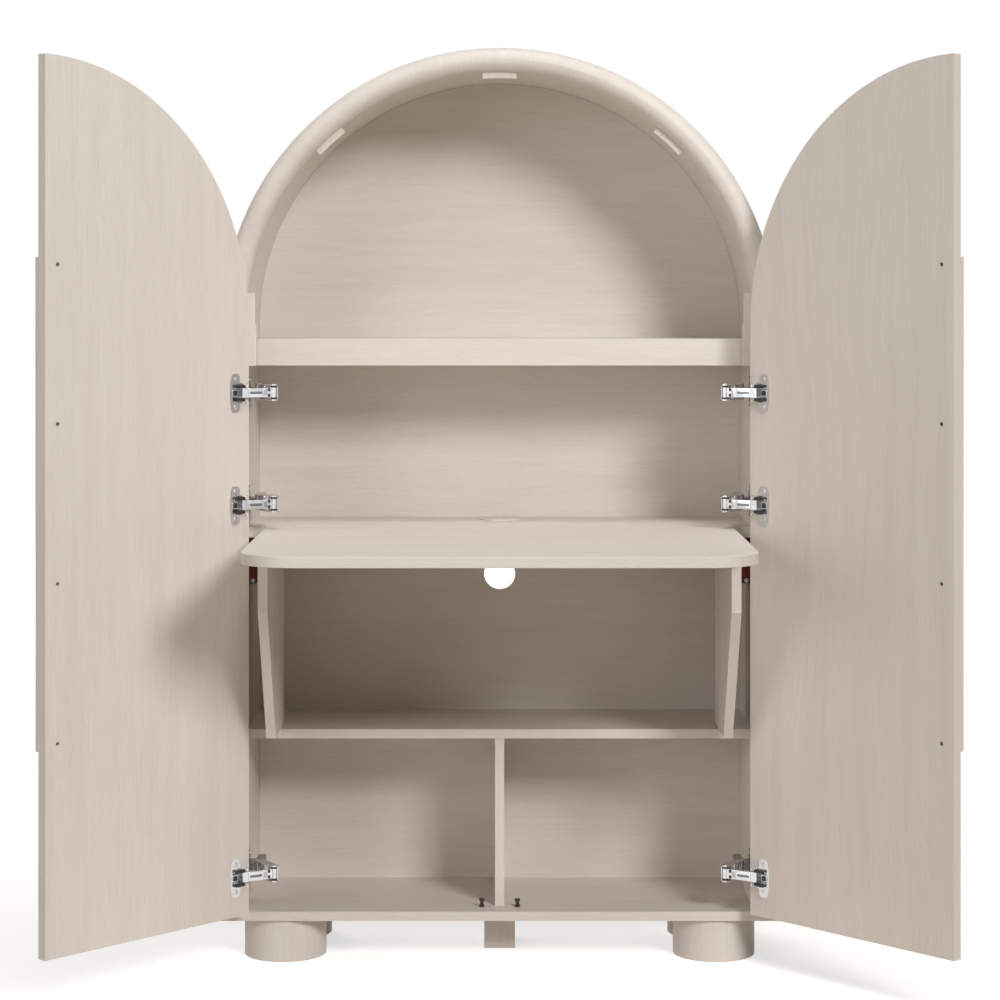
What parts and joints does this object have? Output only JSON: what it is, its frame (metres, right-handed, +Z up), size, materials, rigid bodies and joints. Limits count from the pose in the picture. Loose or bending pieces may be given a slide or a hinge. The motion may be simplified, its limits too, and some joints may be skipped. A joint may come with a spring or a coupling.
{
  "type": "fall-front cabinet",
  "caption": "Arch-topped desk cabinet with wide-swing doors, a hinged desk leaf on swing-out brackets, open shelves and drum feet.",
  "frame": {"origin": "on the floor, under the centre foot, at the middle of the cabinet's footprint", "axes": "+Z up, +X to the right seen from the front, the front faces -Y"},
  "size_m": [1.487, 0.7945, 1.584],
  "materials": {
    "oak": "whitewashed oak veneer, matt",
    "grommet": "pale plastic coloured to match",
    "red_hardwood": "raw dark red hardwood",
    "black_plastic": "black",
    "nickel": "bright nickel plate",
    "steel": "zinc-plated steel"
  },
  "bodies": {
    "carcass": {"arch_shell": "oak", "back_panel": "oak", "bottom_board": "oak", "centre_foot": "oak", "desk_board": "oak", "desk_cleat_left": "red_hardwood", "desk_cleat_right": "red_hardwood", "desk_cleat_screws": "steel", "desk_grommet": "grommet", "desk_grommet_cap": "grommet", "door_catch_left": "black_plastic", "door_catch_right": "black_plastic", "door_stop_left": "oak", "door_stop_right": "oak", "door_stop_top": "oak", "front_arch": "oak", "front_foot_left": "oak", "front_foot_right": "oak", "front_stile_left": "oak", "front_stile_right": "oak", "hinge_arm_pins": "steel", "hinge_arms_left": "nickel", "hinge_arms_right": "nickel", "hinge_plate_screws": "steel", "hinge_plates_left": "nickel", "hinge_plates_right": "nickel", "leaf_hinge_fixed_halves": "nickel", "leaf_hinge_pins": "steel", "lower_divider": "oak", "mid_shelf": "oak", "rear_foot_left": "oak", "rear_foot_right": "oak", "side_panel_left": "oak", "side_panel_right": "oak", "spring_stop_left": "oak", "spring_stop_right": "oak", "upper_shelf": "oak"},
    "left_bracket": {"bracket_left": "oak", "bracket_pins_left": "steel"},
    "right_bracket": {"bracket_pins_right": "steel", "bracket_right": "oak"},
    "leaf": {"desk_leaf": "oak", "leaf_hinge_moving_halves": "nickel"},
    "left_door": {"door_left": "oak", "door_pull_left": "oak", "hinge_cup_screws_left": "steel", "hinge_cups_left": "nickel", "pull_screws_left": "steel"},
    "right_door": {"door_pull_right": "oak", "door_right": "oak", "hinge_cup_screws_right": "steel", "hinge_cups_right": "nickel", "pull_screws_right": "steel"},
    "left_hinge_yokes": {"hinge_link_pins_left": "steel", "hinge_yokes_left": "nickel"},
    "right_hinge_yokes": {"hinge_link_pins_right": "steel", "hinge_yokes_right": "nickel"},
    "left_hinge_links": {"hinge_links_left": "nickel"},
    "right_hinge_links": {"hinge_links_right": "nickel"}
  },
  "joints": [
    {"name": "left_door_hinge", "type": "hinge", "parent": "carcass", "child": "left_door", "pos_m": [-0.4445, -0.16, 0.795], "axis": [0, 0, 1], "range_deg": [-22.6, 41]},
    {"name": "left_yoke_swing", "type": "hinge", "parent": "carcass", "child": "left_hinge_yokes", "pos_m": [-0.4177, -0.1225, 0.795], "axis": [0, 0, 1], "range_deg": [-17.63, 31.98]},
    {"name": "left_link_swing", "type": "hinge", "parent": "left_hinge_yokes", "child": "left_hinge_links", "pos_m": [-0.3888, -0.1637, 0.795], "axis": [0, 0, 1], "range_deg": [-22.55, 12.43]},
    {"name": "right_door_hinge", "type": "hinge", "parent": "carcass", "child": "right_door", "pos_m": [0.4445, -0.16, 0.795], "axis": [0, 0, 1], "range_deg": [-41, 22.6]},
    {"name": "right_yoke_swing", "type": "hinge", "parent": "carcass", "child": "right_hinge_yokes", "pos_m": [0.4177, -0.1225, 0.795], "axis": [0, 0, 1], "range_deg": [-31.98, 17.63]},
    {"name": "right_link_swing", "type": "hinge", "parent": "right_hinge_yokes", "child": "right_hinge_links", "pos_m": [0.3888, -0.1637, 0.795], "axis": [0, 0, 1], "range_deg": [-12.43, 22.55]},
    {"name": "leaf_lift", "type": "hinge", "parent": "carcass", "child": "leaf", "pos_m": [0, -0.11175, 0.7346], "axis": [1, 0, 0], "range_deg": [-5, 0]},
    {"name": "left_bracket_swing", "type": "hinge", "parent": "carcass", "child": "left_bracket", "pos_m": [-0.389, -0.0515, 0.566], "axis": [0, 0, 1], "range_deg": [0, 90]},
    {"name": "right_bracket_swing", "type": "hinge", "parent": "carcass", "child": "right_bracket", "pos_m": [0.389, -0.0515, 0.566], "axis": [0, 0, 1], "range_deg": [-90, 0]}
  ],
  "couplings": [
    {"joint": "left_yoke_swing", "follows": "left_door_hinge", "ratio": 0.78},
    {"joint": "left_link_swing", "follows": "left_door_hinge", "ratio": -0.55},
    {"joint": "right_yoke_swing", "follows": "right_door_hinge", "ratio": 0.78},
    {"joint": "right_link_swing", "follows": "right_door_hinge", "ratio": -0.55}
  ]
}
